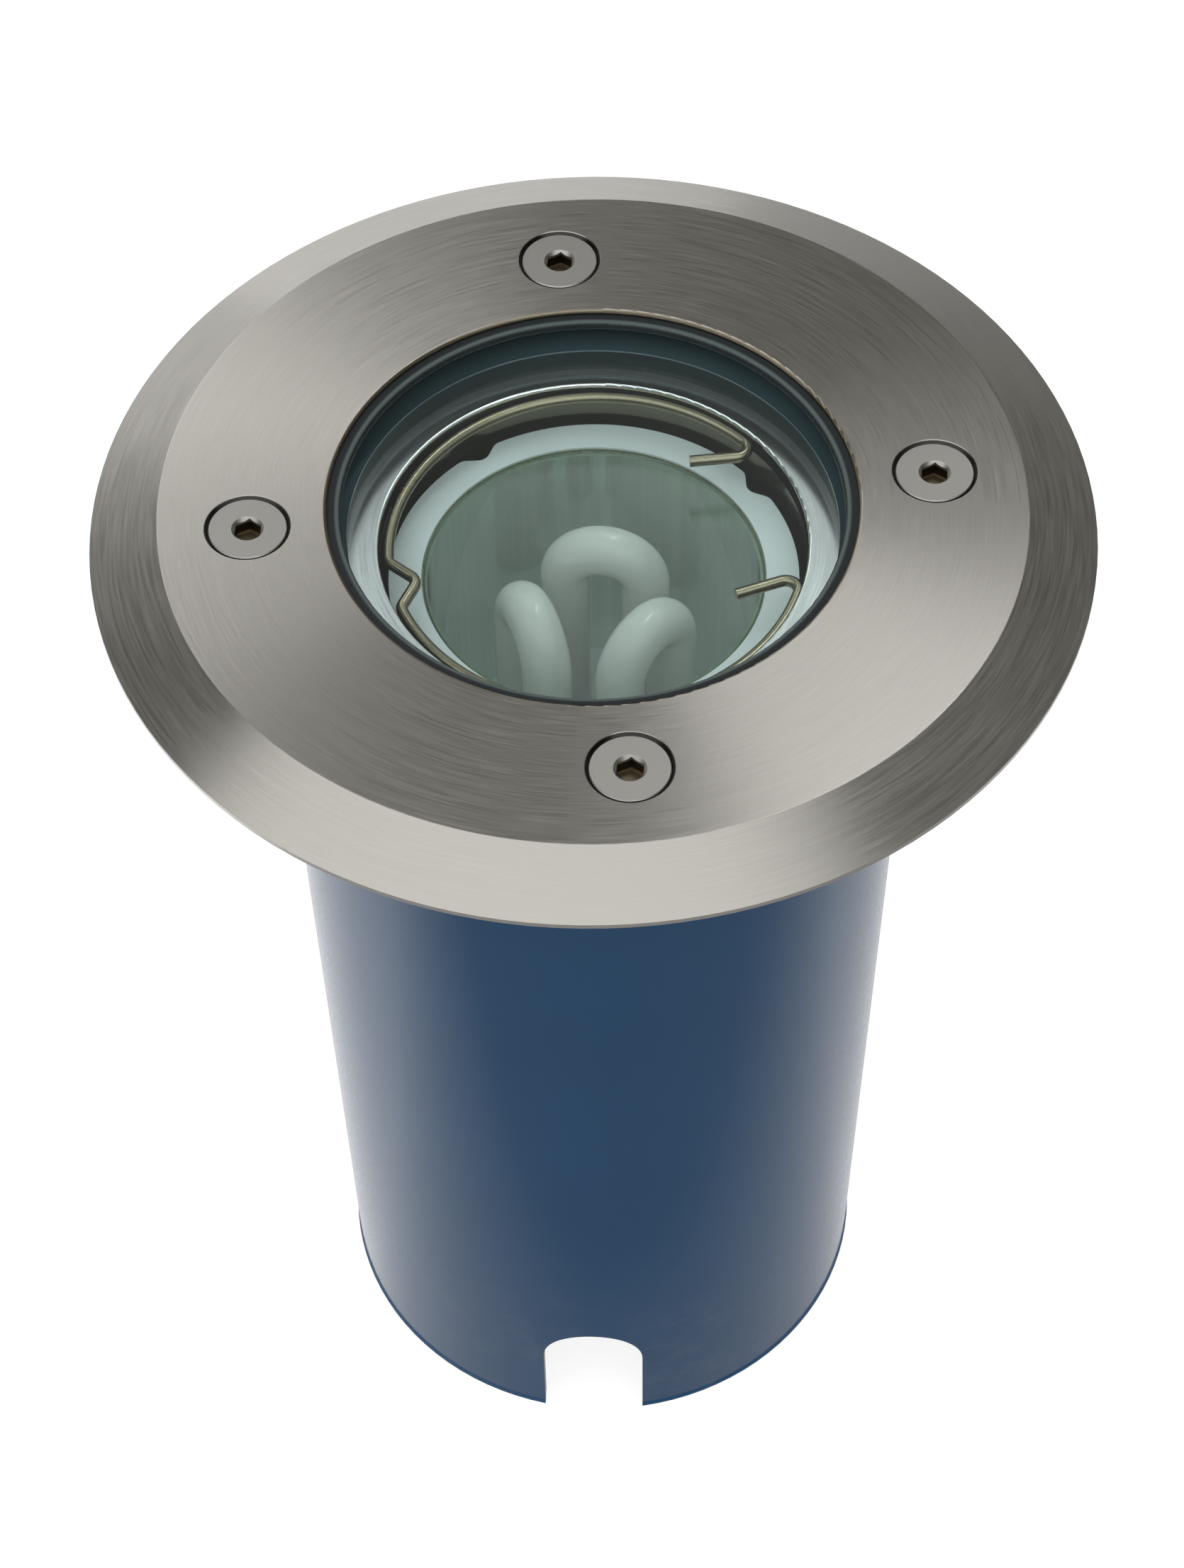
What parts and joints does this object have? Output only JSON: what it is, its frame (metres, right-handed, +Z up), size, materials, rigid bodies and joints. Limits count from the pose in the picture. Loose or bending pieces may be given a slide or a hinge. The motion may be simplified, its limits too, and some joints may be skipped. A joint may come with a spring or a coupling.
{
  "type": "recessed ground light",
  "caption": "Recessed ground light: a round bezel and thick glass screwed to a lamp housing that drops into a tapered mounting sleeve with a cable notch.",
  "frame": {"origin": "on the axis, in the plane of the bezel's underside that lies on the paving", "axes": "+Z up, out of the ground; -Y towards the cable notch of the sleeve"},
  "size_m": [0.118, 0.118, 0.1504],
  "materials": {
    "sleeve_plastic": "semi-gloss moulded blue plastic",
    "bezel_steel": "stainless steel, brushed in circles",
    "screw_steel": "stainless steel, bright",
    "cover_glass": "clear toughened glass with a faint green tint",
    "gasket_rubber": "dark grey silicone rubber",
    "housing_aluminium": "turned and cast aluminium",
    "clip_steel": "bright spring wire with a brassy cast",
    "lamp_white": "white heat-proof plastic",
    "lamp_clear": "thin clear glass",
    "lamp_silver": "silvered reflector",
    "tube_white": "glass tube with a white coating inside",
    "board_green": "circuit board",
    "ferrite": "moulded ferrite block",
    "capacitor_film": "sleeved capacitor",
    "ceramic_white": "unglazed white ceramic",
    "brass": "plain brass",
    "gland_brass": "nickel-plated brass",
    "zinc_steel": "zinc-plated steel",
    "terminal_plastic": "natural moulded plastic",
    "seal_rubber": "black rubber",
    "lead_brown": "brown silicone insulation",
    "lead_blue": "blue silicone insulation",
    "lead_green": "green and yellow silicone insulation"
  },
  "bodies": {
    "sleeve": {"mounting_sleeve": "sleeve_plastic"},
    "fitting": {"lamp_housing": "housing_aluminium", "lamp_clip": "clip_steel", "lamp_holder": "ceramic_white", "holder_cover": "ceramic_white", "holder_contacts": "brass", "holder_bracket": "zinc_steel", "holder_screws": "zinc_steel", "holder_nuts": "zinc_steel", "bracket_screws": "zinc_steel", "terminal_block": "terminal_plastic", "terminal_inserts": "brass", "terminal_screws": "zinc_steel", "block_screws": "zinc_steel", "live_lead": "lead_brown", "neutral_lead": "lead_blue", "earth_lead": "lead_green", "earth_tag": "zinc_steel", "earth_washer": "zinc_steel", "earth_screw": "zinc_steel", "gland_body": "gland_brass", "gland_washer": "seal_rubber", "gland_seal": "seal_rubber"},
    "cover": {"bezel_ring": "bezel_steel", "cover_glass": "cover_glass", "glass_gasket": "gasket_rubber"},
    "cover_screw_1": {"cover_screw_1": "screw_steel"},
    "cover_screw_2": {"cover_screw_2": "screw_steel"},
    "cover_screw_3": {"cover_screw_3": "screw_steel"},
    "cover_screw_4": {"cover_screw_4": "screw_steel"},
    "lamp": {"lamp_shell": "lamp_white", "lamp_glass": "lamp_clear", "lamp_liner": "lamp_silver", "lamp_tube_1": "tube_white", "lamp_tube_2": "tube_white", "lamp_tube_3": "tube_white", "tube_deck": "lamp_white", "lamp_base": "lamp_white", "lamp_pins": "gland_brass", "ballast_board": "board_green", "ballast_choke": "ferrite", "ballast_capacitor": "capacitor_film"},
    "gland_nut": {"gland_nut": "gland_brass"}
  },
  "joints": [
    {"name": "fitting_lift", "type": "slide", "parent": "sleeve", "child": "fitting", "axis": [0, 0, 1], "range_m": [0, 0.13]},
    {"name": "cover_lift", "type": "slide", "parent": "fitting", "child": "cover", "axis": [0, 0, 1], "range_m": [0, 0.05]},
    {"name": "screw_1_out", "type": "slide", "parent": "cover", "child": "cover_screw_1", "axis": [0, 0, 1], "range_m": [0, 0.014]},
    {"name": "screw_2_out", "type": "slide", "parent": "cover", "child": "cover_screw_2", "axis": [0, 0, 1], "range_m": [0, 0.014]},
    {"name": "screw_3_out", "type": "slide", "parent": "cover", "child": "cover_screw_3", "axis": [0, 0, 1], "range_m": [0, 0.014]},
    {"name": "screw_4_out", "type": "slide", "parent": "cover", "child": "cover_screw_4", "axis": [0, 0, 1], "range_m": [0, 0.014]},
    {"name": "lamp_twist", "type": "hinge", "parent": "fitting", "child": "lamp", "pos_m": [0, 0, -0.084], "axis": [0, 0, 1], "range_deg": [0, 20]},
    {"name": "gland_nut_turn", "type": "hinge", "parent": "fitting", "child": "gland_nut", "pos_m": [0, 0, -0.127], "axis": [0, 0, 1], "continuous": true}
  ]
}
